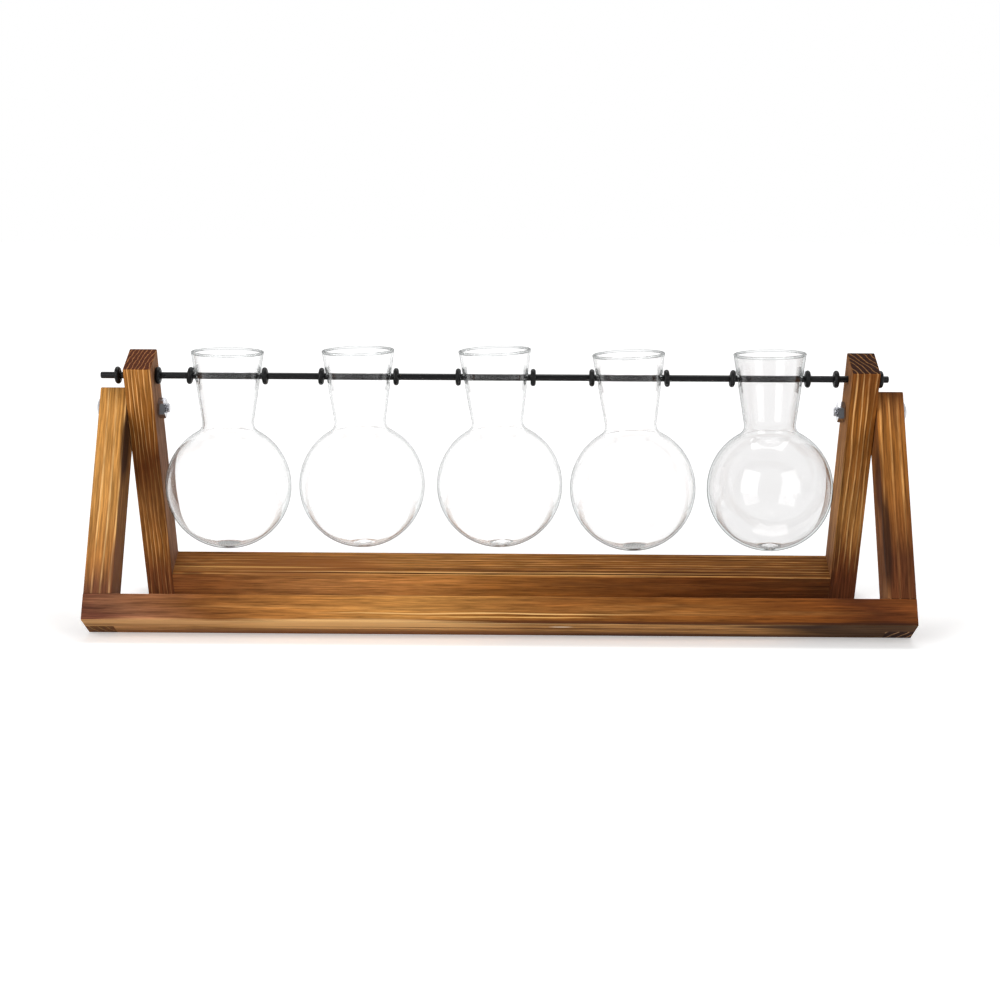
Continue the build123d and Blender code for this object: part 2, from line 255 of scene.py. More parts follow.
# stand: carbonised pine battens
# places are in each frame's own upright, mm from the pivot: X along the rod, Y to the back, Z up the batten
standLook = {
    "pivot": (0, 10.7756, 124.156),
    "frontTurn": -31.0,  # degrees about X, from upright to up the front frame
    "rearTurn": 22.0,
    # one growth ring outwards from the pith: where pale late wood stands, and the dark gaps brushed out
    "lateWood": [
        (0.0, "#000000"), (0.58, "#000000"), (0.7, "#ffffff"), (0.78, "#ffffff"), (0.88, "#000000"),
    ],
    "brushedGap": [
        (0.0, "#c0c0c0"), (0.1, "#404040"), (0.35, "#484848"), (0.5, "#000000"), (0.88, "#000000"),
        (0.95, "#ffffff"),
    ],
    "endLines": (0.62, 0.72, 0.78, 0.88),  # the pale line of each ring in the end grain
    # sizes in mm of what wanders: stripes coming and going, browning, ragged edges of marks, pores
    "patchSize": 4.5, "patchSpan": (0.36, 0.6), "patchShare": (0.15, 1.0),
    "blotchSize": 16, "blotchStray": (-0.05, 0.05),
    "tearSize": 3, "tearReach": 2.4,
    "poreSize": 1.6, "poreTone": (0.55, 1.35),
    # fibres and streaks in mm, real fibres are finer; then the noise's span and how dark to light it goes
    "fibreWidth": 0.5, "fibreLength": 12.0, "fibreSpan": (0.32, 0.68), "fibreTone": (0.5, 1.42),
    "streakWidth": 1.5, "streakLength": 50.0, "streakSpan": (0.34, 0.66), "streakTone": (0.72, 1.26),
    "facingSpan": (0.6, 0.92),  # cosines from which a side starts to count, and counts in full
    "markSpan": (0.1, 0.5), "markShare": 0.85, "endShare": 0.95,
    "roughness": (0.85, 0.6), "lateRelief": 0.4, "reliefDepth": 0.2, "specular": 0.08,
    "battens": {
        # tones run from one end to the other, and stripes says where along it the stripes stand out
        # calm: faces that lie along the rings, and how plain they are there
        # faces: sides painted lighter or darker by how they face, painted light and shade; ends: end grain,
        # dark and light
        # marks: place, reach each way and colour of a chip, tear, burn or single stronger line
        "front_rail": {
            "turn": "frontTurn", "along": "X", "span": (-240, 240),
            "tones": [
                (0.0, "#643a2a"), (0.05, "#85573c"), (0.15, "#75461f"), (0.27, "#a56c34"),
                (0.4, "#ae783c"), (0.55, "#865324"), (0.65, "#754519"), (0.75, "#7d4a1c"),
                (0.86, "#733f15"), (0.92, "#522911"), (1.0, "#733f19"),
            ],
            "stripes": [(0.1, "#404040"), (0.25, "#ffffff"), (0.86, "#ffffff"), (0.94, "#000000")],
            "pith": (0, 93.5, -162), "ringWidth": 3.4, "waviness": 5.0, "wander": 0.05,
            "light": "#dcaa68", "lightShare": 0.5, "dark": "#4a240e", "darkShare": 0.7,
            # the underside's paler tone is painted light, the bounce off the table
            "calm": ((0, 1, 0), 0.75), "faces": [((0, 0, -1), "#cf9c60", 0.55)],
            "ends": ("#4a2a18", "#8a6038"),
            "marks": [
                ((-10, -13, -132.3), (120, 3, 0.55), "#e0b070"),
                ((5, -13, -134.4), (80, 3, 0.5), "#d09c58"),
                ((40, -13, -136.9), (260, 1.5, 1.2), "#4c2812"),
                ((-80, -6, -137.5), (110, 16, 2.2), "#dcac70"),
                ((-196, -9, -137.5), (70, 6, 2.2), "#c89864"),
                ((-60, 10, -137.5), (260, 8, 2.2), "#8e5c38"),
                ((120, 11, -137.5), (150, 7, 2.2), "#5c3a22"),
                ((-60, -11, -137.5), (180, 0.9, 2.2), "#e0b478"),
                ((20, -2, -137.5), (210, 1.0, 2.2), "#5c3619"),
                ((-100, 3, -137.5), (110, 0.9, 2.2), "#6c4020"),
                ((90, -12.0, -137.5), (190, 1.0, 2.2), "#3a2010"),
                ((165, -8, -137.5), (44, 4, 2.2), "#3c2414"),
                ((212, -4, -137.5), (70, 24, 2.2), "#2c180f"),
                ((36, -4.6, -137.2), (8.5, 1.1, 2.2), "#f6ecd8"),
            ],
        },
        "rear_rail": {
            "turn": "rearTurn", "along": "X", "span": (-223, 223),
            "tones": [
                (0.0, "#72401f"), (0.1, "#824e26"), (0.25, "#aa713e"), (0.4, "#a86f38"),
                (0.5, "#8c5725"), (0.63, "#6f3f17"), (0.77, "#582c0a"), (0.9, "#542a0b"),
                (1.0, "#3e1c07"),
            ],
            "stripes": [(0.0, "#ffffff"), (1.0, "#ffffff")],
            "pith": (0, 104, -133), "ringWidth": 2.9, "waviness": 7.0, "wander": 0.06,
            "light": "#d9a566", "lightShare": 0.85, "dark": "#2a1206", "darkShare": 1.0,
            # the top face's darker tone is painted shade
            "calm": ((0, 1, 0), 0.97), "faces": [((0, 0, 1), "#83521f", 0.5)],
            "ends": ("#3a1c0e", "#8a5a34"),
            "marks": [
                ((-123, -4, -113), (70, 16, 2.2), "#824e24"),
                ((-158, -4.5, -113), (76, 1.0, 1.5), "#c4904f"),
                ((-20, -9.0, -113), (190, 0.8, 1.5), "#d0a062"),
                ((10, -10.3, -113), (230, 1.1, 1.5), "#2c1307"),
                ((60, -7.4, -113), (210, 0.9, 1.5), "#3a1c0a"),
                ((-40, -5.6, -113), (90, 0.7, 1.5), "#4a260f"),
                ((120, -3.4, -113), (120, 0.7, 1.5), "#4a260f"),
                ((30, -11.6, -113), (200, 0.6, 1.5), "#cf9852"),
                ((-194, -11.6, -113), (10, 1.0, 1.5), "#3a1c0c"),
            ],
        },
        "left_leg": {
            "turn": "frontTurn", "along": "Z", "span": (-137, 8),
            "tones": [
                (0.0, "#5c3020"), (0.13, "#69402a"), (0.25, "#a56e38"), (0.5, "#b88244"),
                (1.0, "#b07c3e"),
            ],
            "stripes": [(0.1, "#a0a0a0"), (0.3, "#ffffff")],
            "pith": (-148, -28, 0), "ringWidth": 5.3, "waviness": 4.0, "wander": 0.12,
            "light": "#e9ba7c", "lightShare": 0.65, "dark": "#8a5a2c", "darkShare": 0.4,
            # the inner side's dark tone is painted shade, from the narrow gap to the post
            "calm": ((1, 0, 0), 0.7), "faces": [((1, 0, 0), "#57331f", 0.75)],
            "ends": ("#6b4424", "#94703f"),
            "marks": [
                ((-223.5, -8, -29), (3, 16, 30), "#2c1810"),
                ((-223.5, -6, -104), (3, 16, 26), "#734a30"),
            ],
        },
        "right_leg": {
            "turn": "frontTurn", "along": "Z", "span": (-137, 8),
            "tones": [
                (0.0, "#58301a"), (0.12, "#5e331a"), (0.3, "#532d17"), (0.45, "#75461f"),
                (0.62, "#8a5624"), (0.82, "#925c26"), (0.93, "#8a5628"), (1.0, "#5c361a"),
            ],
            "stripes": [
                (0.1, "#505050"), (0.45, "#808080"), (0.65, "#ffffff"), (0.95, "#ffffff"),
                (1.0, "#000000"),
            ],
            "pith": (150, -36, 0), "ringWidth": 5.0, "waviness": 4.0, "wander": 0.12,
            "light": "#d69f60", "lightShare": 0.65, "dark": "#44200a", "darkShare": 0.5,
            # the inner side's dark tone is painted shade, from the narrow gap to the post
            "calm": ((1, 0, 0), 0.7), "faces": [((-1, 0, 0), "#754829", 0.7)],
            "ends": ("#2e170d", "#b48a60"),
            "marks": [
                ((223.5, -6, -48), (3, 14, 28), "#4a2916"),
                ((223.5, -6, -126), (3, 16, 24), "#8a5c38"),
                ((224.3, -13, -86), (5.0, 7, 42), "#2e1a10"),
            ],
        },
        "left_post": {
            "turn": "rearTurn", "along": "Z", "span": (-129, 34),
            "tones": [
                (0.0, "#5e3218"), (0.1, "#68391b"), (0.27, "#905a26"), (0.44, "#845429"),
                (0.6, "#633615"), (0.78, "#784819"), (0.95, "#93602b"),
            ],
            "stripes": [
                (0.1, "#808080"), (0.3, "#ffffff"), (0.45, "#a0a0a0"), (0.6, "#909090"),
                (0.75, "#ffffff"),
            ],
            "pith": (-92, -22, 0), "ringWidth": 2.6, "waviness": 6.0, "wander": 0.16,
            "light": "#dea76a", "lightShare": 0.85, "dark": "#42200a", "darkShare": 0.55,
            # the inner side's grey brown is painted shade with a painted sheen
            "calm": ((1, 0, 0), 0.8), "faces": [((1, 0, 0), "#7a5844", 0.7)],
            "ends": ("#4c2416", "#a06a42"),
            "marks": [],
        },
        "right_post": {
            "turn": "rearTurn", "along": "Z", "span": (-129, 34),
            "tones": [
                (0.0, "#4c2611"), (0.1, "#542a13"), (0.2, "#673918"), (0.38, "#a87138"),
                (0.55, "#98622d"), (0.78, "#925a22"), (0.87, "#7e4b1b"), (1.0, "#73421a"),
            ],
            "stripes": [(0.12, "#000000"), (0.28, "#ffffff")],
            "pith": (94, -66, 0), "ringWidth": 3.3, "waviness": 5.0, "wander": 0.15,
            "light": "#dba86c", "lightShare": 0.85, "dark": "#421e08", "darkShare": 0.5,
            # the inner side's grey brown is painted shade with a painted sheen
            "calm": ((1, 0, 0), 0.7), "faces": [((-1, 0, 0), "#94663f", 0.5)],
            "ends": ("#2a130b", "#8a6038"),
            "marks": [],
        },
    },
}


def carbonisedPine(name, look, shared):
    # Pine, torched, wire brushed and oiled: pale hard late wood stands in stripes out of browned early
    # wood, the ends are dark, and a satin sheen breaks up along the fibres
    material, tree = newMaterial("carbonisedPine_" + name)
    rail = look["along"] == "X"
    grain = Vector((1, 0, 0)) if rail else Vector((0, 0, 1))
    turn = math.radians(shared[look["turn"]])
    toObject = Matrix.Rotation(turn, 3, "X")
    where = addNode(tree, "TexCoord").outputs
    batten = addNode(tree, "Mapping", {"Location": Vector(shared["pivot"]) * mm, "Rotation": (turn, 0, 0)},
                     {"Vector": where["Object"]}, vector_type="TEXTURE")

    def facingShare(direction, share, bothWays=False):
        # how squarely the surface faces a direction of the batten, up to the share
        dot = addNode(tree, "VectorMath", {1: toObject @ Vector(direction)}, {0: where["Normal"]},
                      operation="DOT_PRODUCT").outputs["Value"]
        if bothWays:
            dot = addNode(tree, "Math", links={0: dot}, operation="ABSOLUTE")
        return addNode(tree, "MapRange", fromTo(shared["facingSpan"], (0.0, share)), {0: dot})

    def alongGrain(width, length):
        # noise drawn out along the grain
        stretch = [width / length if g else 1 for g in grain]
        point = addNode(tree, "Mapping", {"Scale": stretch}, {"Vector": batten})
        noise = addNode(tree, "TexNoise", {"Scale": 1 / (width * 2 * mm), "Detail": 4.0, "Roughness": 0.65},
                        {"Vector": point})
        return point, noise

    # growth rings round the pith, drawn out along the grain
    fromPith = addNode(tree, "Mapping", {"Location": Vector(look["pith"]) * -mm}, {"Vector": batten})
    stretch = [look["wander"] if g else 1 for g in grain]
    drawnOut = addNode(tree, "Mapping", {"Scale": stretch}, {"Vector": fromPith})
    ringScale = math.pi / 10 / (look["ringWidth"] * mm)  # the wave node repeats every pi / 10 at scale 1
    rings = addNode(tree, "TexWave",
                    {"Scale": ringScale, "Distortion": look["waviness"], "Detail": 2.0, "Detail Scale": 0.8,
                     "Detail Roughness": 0.55}, {"Vector": drawnOut},
                    wave_type="RINGS", rings_direction=look["along"], wave_profile="SAW").outputs["Fac"]
    late = addNode(tree, "ValToRGB", links={0: rings}, stops=shared["lateWood"])
    gap = addNode(tree, "ValToRGB", links={0: rings}, stops=shared["brushedGap"])
    # stripes come and go over a few centimetres, and from ring to ring
    patches = addNode(tree, "TexNoise",
                      {"Scale": 1 / (shared["patchSize"] * mm), "Detail": 3.0, "Roughness": 0.6},
                      {"Vector": drawnOut})
    fade = addNode(tree, "MapRange", fromTo(shared["patchSpan"], shared["patchShare"]), {0: patches})

    # how far along the batten, for the stripes and for how the torch browned it
    parts = addNode(tree, "SeparateXYZ", links={0: batten})
    low, high = (v * mm for v in look["span"])
    run = addNode(tree, "MapRange", {1: low, 2: high}, {0: parts.outputs[look["along"]]})
    blotches = addNode(tree, "TexNoise",
                       {"Scale": 1 / (shared["blotchSize"] * mm), "Detail": 3.0, "Roughness": 0.6},
                       {"Vector": drawnOut})
    stray = addNode(tree, "MapRange", fromTo(noiseSpan, shared["blotchStray"]), {0: blotches})
    strayRun = addNode(tree, "Math", links={0: run, 1: stray}, operation="ADD")
    standing = addNode(tree, "ValToRGB", links={0: strayRun}, stops=look["stripes"])
    busy = addNode(tree, "Math", {0: 1.0}, {1: facingShare(*look["calm"], True)}, operation="SUBTRACT")
    striping = addNode(tree, "Math", links={0: busy, 1: standing}, operation="MULTIPLY")
    lateShare = addNode(tree, "Math", {1: look["lightShare"]}, {0: fade}, operation="MULTIPLY")
    lateStriping = addNode(tree, "Math", links={0: lateShare, 1: striping}, operation="MULTIPLY")
    lateMask = addNode(tree, "Math", links={0: lateStriping, 1: late}, operation="MULTIPLY")
    gapStriping = addNode(tree, "Math", {1: look["darkShare"]}, {0: striping}, operation="MULTIPLY")
    gapMask = addNode(tree, "Math", links={0: gapStriping, 1: gap}, operation="MULTIPLY")
    # a colour mix's share is socket 0, its colours are 6 and 7, and its result is output 2
    colour = addNode(tree, "ValToRGB", links={0: strayRun}, stops=look["tones"]).outputs["Color"]
    layers = [(gapMask, look["dark"]), (lateMask, look["light"])]
    # painted light and shade: each listed side takes a lighter or darker tone by the way it faces
    for direction, paintedLightOrShade, share in look["faces"]:
        layers.append((facingShare(direction, share), paintedLightOrShade))
    for share, layerColour in layers:
        mix = addNode(tree, "Mix", {7: layerColour}, {0: share, 6: colour}, data_type="RGBA")
        colour = mix.outputs[2]

    # fibres, brushed open
    fibrePoint, fibres = alongGrain(shared["fibreWidth"], shared["fibreLength"])
    fibreTone = addNode(tree, "MapRange", fromTo(shared["fibreSpan"], shared["fibreTone"]), {0: fibres})
    streaks = alongGrain(shared["streakWidth"], shared["streakLength"])[1]
    streakTone = addNode(tree, "MapRange", fromTo(shared["streakSpan"], shared["streakTone"]), {0: streaks})
    bothTones = addNode(tree, "Math", links={0: fibreTone, 1: streakTone}, operation="MULTIPLY")
    colour = addNode(tree, "VectorMath", links={0: colour, 1: bothTones}, operation="MULTIPLY")
    # chips, tears, burns and single stronger lines, with ragged edges
    ragged = addNode(tree, "TexNoise",
                     {"Scale": 1 / (shared["tearSize"] * mm), "Detail": 3.0, "Roughness": 0.6},
                     {"Vector": fibrePoint})
    shove = addNode(tree, "VectorMath", {1: (-0.5, -0.5, -0.5)}, {0: ragged.outputs["Color"]},
                    operation="ADD")
    shoved = addNode(tree, "VectorMath", {1: (shared["tearReach"] * mm,) * 3}, {0: shove, 2: batten},
                     operation="MULTIPLY_ADD")
    for place, size, markColour in look["marks"]:
        near = addNode(tree, "Mapping", {"Location": Vector(place) * mm, "Scale": Vector(size) * mm},
                       {"Vector": shoved}, vector_type="TEXTURE")
        ball = addNode(tree, "TexGradient", links={0: near}, gradient_type="SPHERICAL").outputs["Fac"]
        mask = addNode(tree, "MapRange", fromTo(shared["markSpan"], (0.0, shared["markShare"])), {0: ball})
        marked = addNode(tree, "Mix", {7: markColour}, {0: mask, 6: colour}, data_type="RGBA")
        colour = marked.outputs[2]

    # end grain drinks oil and chars: dark, with the late wood in thin pale lines
    char, line = look["ends"]
    endStops = [(0.0, char)] + list(zip(shared["endLines"], (char, line, line, char)))
    endRings = addNode(tree, "ValToRGB", links={0: rings}, stops=endStops)
    pores = addNode(tree, "TexNoise", {"Scale": 1 / (shared["poreSize"] * mm), "Detail": 3.0},
                    {"Vector": batten})
    poreTone = addNode(tree, "MapRange", fromTo(noiseSpan, shared["poreTone"]), {0: pores})
    ends = addNode(tree, "VectorMath", links={0: endRings, 1: poreTone}, operation="MULTIPLY")
    atEnd = facingShare(grain, shared["endShare"], True)
    ended = addNode(tree, "Mix", links={0: atEnd, 6: colour, 7: ends}, data_type="RGBA").outputs[2]
    roughness = addNode(tree, "MapRange", fromTo(noiseSpan, shared["roughness"]), {0: fibres})
    relief = addNode(tree, "Math", {1: shared["lateRelief"]}, {0: fibres, 2: late},
                     operation="MULTIPLY_ADD")
    bump = addNode(tree, "Bump", {"Strength": 0.3, "Distance": shared["reliefDepth"] * mm},
                   {"Height": relief})
    shader = addNode(tree, "BsdfPrincipled", {"IOR": 1.5, "Specular IOR Level": shared["specular"]},
                     {"Base Color": ended, "Roughness": roughness, "Normal": bump})
    addNode(tree, "OutputMaterial", links={"Surface": shader})
    return material


for battenName, battenLook in standLook["battens"].items():
    dressNode(battenName, carbonisedPine(battenName, battenLook, standLook))
print("stage: stand")

# rod
rodLook = {
    "colour": "#0b0b0d", "roughness": (0.31, 0.44), "peelSize": 0.4, "peelDepth": 0.02, "specular": 0.3,
}


def blackRodSteel(look):
    # Steel rod, powder coated black and satin: a soft grey highlight along it and a very fine orange peel
    material, tree = newMaterial("powderCoatedBlackSteel")
    where = addNode(tree, "TexCoord").outputs
    peel = addNode(tree, "TexNoise", {"Scale": 1 / (look["peelSize"] * mm), "Detail": 2.0},
                   {"Vector": where["Object"]})
    roughness = addNode(tree, "MapRange", fromTo(noiseSpan, look["roughness"]), {0: peel})
    bump = addNode(tree, "Bump", {"Strength": 0.15, "Distance": look["peelDepth"] * mm}, {"Height": peel})
    shader = addNode(tree, "BsdfPrincipled",
                     {"Base Color": look["colour"], "IOR": 1.5, "Specular IOR Level": look["specular"]},
                     {"Roughness": roughness, "Normal": bump})
    addNode(tree, "OutputMaterial", links={"Surface": shader})
    return material


dressNode("rod", blackRodSteel(rodLook))
print("stage: rod")

# rubber rings
ringLook = {
    "cord": 3.2, "hole": 4.04, "around": 56, "across": 22,
    "colour": "#070708", "bloom": "#111112", "bloomSize": 1.4, "bloomDepth": 0.03,
    "roughness": 0.42, "specular": 0.22,
    "tilts": {  # degrees, pushed on by hand
        "vase_1_ring_left": 7, "vase_1_ring_right": -3, "vase_2_ring_left": 3, "vase_4_ring_right": -4,
        "vase_5_ring_left": 6, "left_post_ring_outer": -3,
    },
}


def nitrileRubber(look):
    # Nitrile rubber, moulded: near black, matt, with a faint bloom that greys it unevenly
    material, tree = newMaterial("mouldedNitrileRubber")
    where = addNode(tree, "TexCoord").outputs
    bloom = addNode(tree, "TexNoise", {"Scale": 1 / (look["bloomSize"] * mm), "Detail": 3.0},
                    {"Vector": where["Object"]})
    colour = addNode(tree, "Mix", {6: look["colour"], 7: look["bloom"]}, {0: bloom}, data_type="RGBA")
    bump = addNode(tree, "Bump", {"Strength": 0.2, "Distance": look["bloomDepth"] * mm}, {"Height": bloom})
    shader = addNode(tree, "BsdfPrincipled",
                     {"Roughness": look["roughness"], "IOR": 1.52, "Specular IOR Level": look["specular"]},
                     {"Base Color": colour.outputs[2], "Normal": bump})
    addNode(tree, "OutputMaterial", links={"Surface": shader})
    return material


rubber = nitrileRubber(ringLook)


def makeRing(nodeName, look):
    low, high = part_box(nodeName)
    centre = (low + high) / 2
    cordRadius = look["cord"] / 2
    middle = look["hole"] / 2 + cordRadius
    tilt = Matrix.Rotation(math.radians(look["tilts"].get(nodeName, 0)), 3, "Y")
    vertices, faces = [], []
    for i in range(look["around"]):
        turn = 2 * math.pi * i / look["around"]
        for j in range(look["across"]):
            angle = 2 * math.pi * j / look["across"]
            reach = middle + cordRadius * math.cos(angle)
            point = Vector((cordRadius * math.sin(angle), reach * math.cos(turn), reach * math.sin(turn)))
            vertices.append(centre + tilt @ (point * mm))
            nextI, nextJ = (i + 1) % look["around"], (j + 1) % look["across"]
            faces.append((i * look["across"] + j, nextI * look["across"] + j,
                          nextI * look["across"] + nextJ, i * look["across"] + nextJ))
    finishPiece(nodeName + "_rubber", vertices, faces, [rubber], "rod", [nodeName])


for nodeName in sorted(frame["nodes"]):
    if "_ring_" in nodeName:
        makeRing(nodeName, ringLook)
print("stage: rings")

# bolts and nuts
boltLook = {
    "thread": 6.2, "pitch": 1.27, "depth": 0.7, "threadLength": 14.0, "length": 40.0, "tipChamfer": 0.7,
    "rootShare": 0.08,  # of half a pitch, flat at the crest and at the root
    "headDiameter": 15.5, "headHeight": 3.8, "headEdge": 0.6,
    "underEdge": ((0.4, 0.0), (0.1, 0.12), (0.0, 0.3)),  # share of the edge's height, and how far in
    "neckSize": 6.2, "neckLength": 3.5, "neckCorner": 1.36,  # reach of a corner against a side's
    "around": 48, "crownRows": 15, "crownStart": 0.02, "rowsPerTurn": 10,
    "sharpFrom": 40,  # degrees between faces
    "zinc": "#c4c5c9", "zincDull": "#8b8c92", "cloudSize": 3, "cloudDepth": 0.02, "roughness": (0.05, 0.18),
}


def zincPlatedSteel(look):
    # Steel with bright zinc plating, rolled thread: a cool silver mirror, slightly clouded and scratched
    material, tree = newMaterial("brightZincPlatedSteel")
    where = addNode(tree, "TexCoord").outputs
    cloud = addNode(tree, "TexNoise",
                    {"Scale": 1 / (look["cloudSize"] * mm), "Detail": 4.0, "Roughness": 0.6},
                    {"Vector": where["Object"]})
    colour = addNode(tree, "Mix", {6: look["zinc"], 7: look["zincDull"]}, {0: cloud}, data_type="RGBA")
    roughness = addNode(tree, "MapRange", fromTo(noiseSpan, look["roughness"]), {0: cloud})
    bump = addNode(tree, "Bump", {"Strength": 0.1, "Distance": look["cloudDepth"] * mm}, {"Height": cloud})
    shader = addNode(tree, "BsdfPrincipled", {"Metallic": 1.0},
                     {"Base Color": colour.outputs[2], "Roughness": roughness, "Normal": bump})
    addNode(tree, "OutputMaterial", links={"Surface": shader})
    return material


zinc = zincPlatedSteel(boltLook)


def boltRows(look):
    # from the head's crown to the tip: distance out of the leg's face, and radius at an angle and distance
    radius, edge = look["thread"] / 2, look["headEdge"]
    headRadius, dome = look["headDiameter"] / 2, look["headHeight"] - edge
    crown = (headRadius ** 2 + dome ** 2) / (2 * dome)  # radius of the head's sphere

    def plain(r):
        return lambda angle, out: r

    def square(angle, out):
        half = look["neckSize"] / 2
        flattest = max(abs(math.cos(angle)), abs(math.sin(angle)))
        return min(half / flattest, half * look["neckCorner"])

    def thread(angle, out):
        turn = (out / look["pitch"] + angle / (2 * math.pi)) % 1
        root = (abs(turn * 2 - 1) - look["rootShare"]) / (1 - 2 * look["rootShare"])
        chamfer = max(0.0, look["tipChamfer"] - out - look["length"])
        return min(radius - chamfer, radius - look["depth"] * min(1.0, max(0.0, root)))

    rows = []
    for i in range(look["crownRows"]):
        share = look["crownStart"] + (1 - look["crownStart"]) * i / (look["crownRows"] - 1)
        r = headRadius * math.sin(math.pi / 2 * share)
        rows.append((edge + dome - crown + math.sqrt(crown ** 2 - r ** 2), plain(r)))
    rows += [(edge * height, plain(headRadius - inwards)) for height, inwards in look["underEdge"]]
    rows += [(0.0, square), (-look["neckLength"], square), (-look["neckLength"], plain(radius))]
    threadStart = look["threadLength"] - look["length"]
    rows.append((threadStart, plain(radius)))
    count = int(look["threadLength"] / look["pitch"] * look["rowsPerTurn"])
    rows += [(threadStart - look["threadLength"] * i / count, thread) for i in range(1, count + 1)]
    return rows


def makeBolt(side, look):
    name = ("left" if side < 0 else "right") + "_bolt"
    low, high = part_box(name)
    pivotY, pivotZ = (low.y + high.y) / 2, (low.z + high.z) / 2
    faceX = (low.x if side < 0 else high.x) - side * look["headHeight"] * mm
    around, rows = look["around"], boltRows(look)
    vertices, faces = [], []
    for out, reach in rows:
        for j in range(around):
            angle = 2 * math.pi * j / around
            r = reach(angle, out) * mm
            y, z = pivotY + r * math.cos(angle), pivotZ + r * math.sin(angle)
            vertices.append((faceX + side * out * mm, y, z))
    for i in range(len(rows) - 1):
        for j in range(around):
            k = (j + 1) % around
            faces.append((i * around + j, i * around + k, (i + 1) * around + k, (i + 1) * around + j))
    faces.append(tuple(range(around)))
    faces.append(tuple((len(rows) - 1) * around + j for j in range(around)))
    piece = finishPiece(name + "_threaded", vertices, faces, [zinc], "front_frame", [name])
    piece.data.set_sharp_from_angle(angle=math.radians(look["sharpFrom"]))


for side in (-1, 1):
    makeBolt(side, boltLook)
for nodeName in ("left_nut", "right_nut"):
    dressNode(nodeName, zinc)
print("stage: bolts and nuts")

# vases
vaseLook = {
    "bulbDiameter": 75.5, "rimDiameter": 43.4, "neckFootDiameter": 31.0, "neckHeight": 42.0,
    "height": 118.7, "shoulderRound": 6.0, "baseFlatDiameter": 14.5, "rimAboveRod": 15.3,
    "wall": 1.2,  # thinner than the construction's, for outlines as thin as the photograph's
    "baseDimple": 0.5, "floorMound": 1.7, "dimpleShare": 0.9,  # of the flat's radius
    "beadRadius": 0.82, "beadProud": 0.1,  # the fire polished rim
    # the grey line under the bead is painted shade and reflection, not a colour of the glass
    "rimLine": 0.3,  # height of the grey line under the bead
    "holeDiameter": 7.0, "holeDrop": 1.35,
    # vase by vase: lean in degrees, height on the rod, where the pontil was ground off as shares of the
    # flat's radius, tint, and how strongly the painted outline of shade and reflection is drawn
    "leans": (-0.7, 1.3, 2.3, 2.6, 1.6),
    "rises": (-0.5, 0.8, 1.3, -0.5, 0.0),
    "groundSpans": ((0, 1), (0, 0), (0.8, 1), (0, 1), (0.7, 1)),
    "clearTints": ("#fdfdfd", "#ffffff", "#ffffff", "#fcfbfb", "#e6e5e5"),
    "lineShares": (0.9, 0.75, 0.75, 0.85, 1.35),
    # how edge on the glass is seen, and the painted grey of shade and reflection there: through the wall,
    # in the outline past the hollow, in the rim's bead and in the line under it
    "wallTones": [(0.5, "#ffffff"), (0.74, "#c6c8c8")],
    "lineTones": [(0.78, "#eceeee"), (0.9, "#bebfbf"), (0.98, "#646666")],
    "rimTones": [(0.0, "#f8f9f9"), (0.45, "#eceded"), (0.8, "#c6c8c8"), (0.97, "#9ea0a0")],
    "footTones": [(0.0, "#bcbebe"), (1.0, "#9a9c9c")],
    "rimShare": 0.65,  # how strongly the last two are drawn
    "lineBlend": 0.1,
    # the painted outline fades between two heights, and spreads from the shoulder up to the neck, mm
    "lineHeights": (50, 110), "lineFade": (0.95, 0.42), "neckHeights": (108, 120), "neckSpread": 0.6,
    "ior": 1.47, "gloss": "#c8c8c8", "swellSize": 22, "swellDepth": 0.4, "shadowTint": "#f2f4f4",
    # the ground spot's dark grey is partly frosting and partly painted shade
    "groundFrostAndShade": "#6e6e6b", "groundShare": 0.97, "groundRoughness": (0.7, 0.95), "groundSpecular": 0.1,
    "gritSize": 0.5,
    # mesh divisions; the patches carry the holes
    "around": 128, "flatRows": 10, "bulbRows": 48, "shoulderRows": 12, "neckRows": 12, "rimRows": 8,
    "lipRows": 16, "patchHalf": 8, "patchCell": 0.95, "holeWallRows": 6, "holeEdgeRows": 12,
}


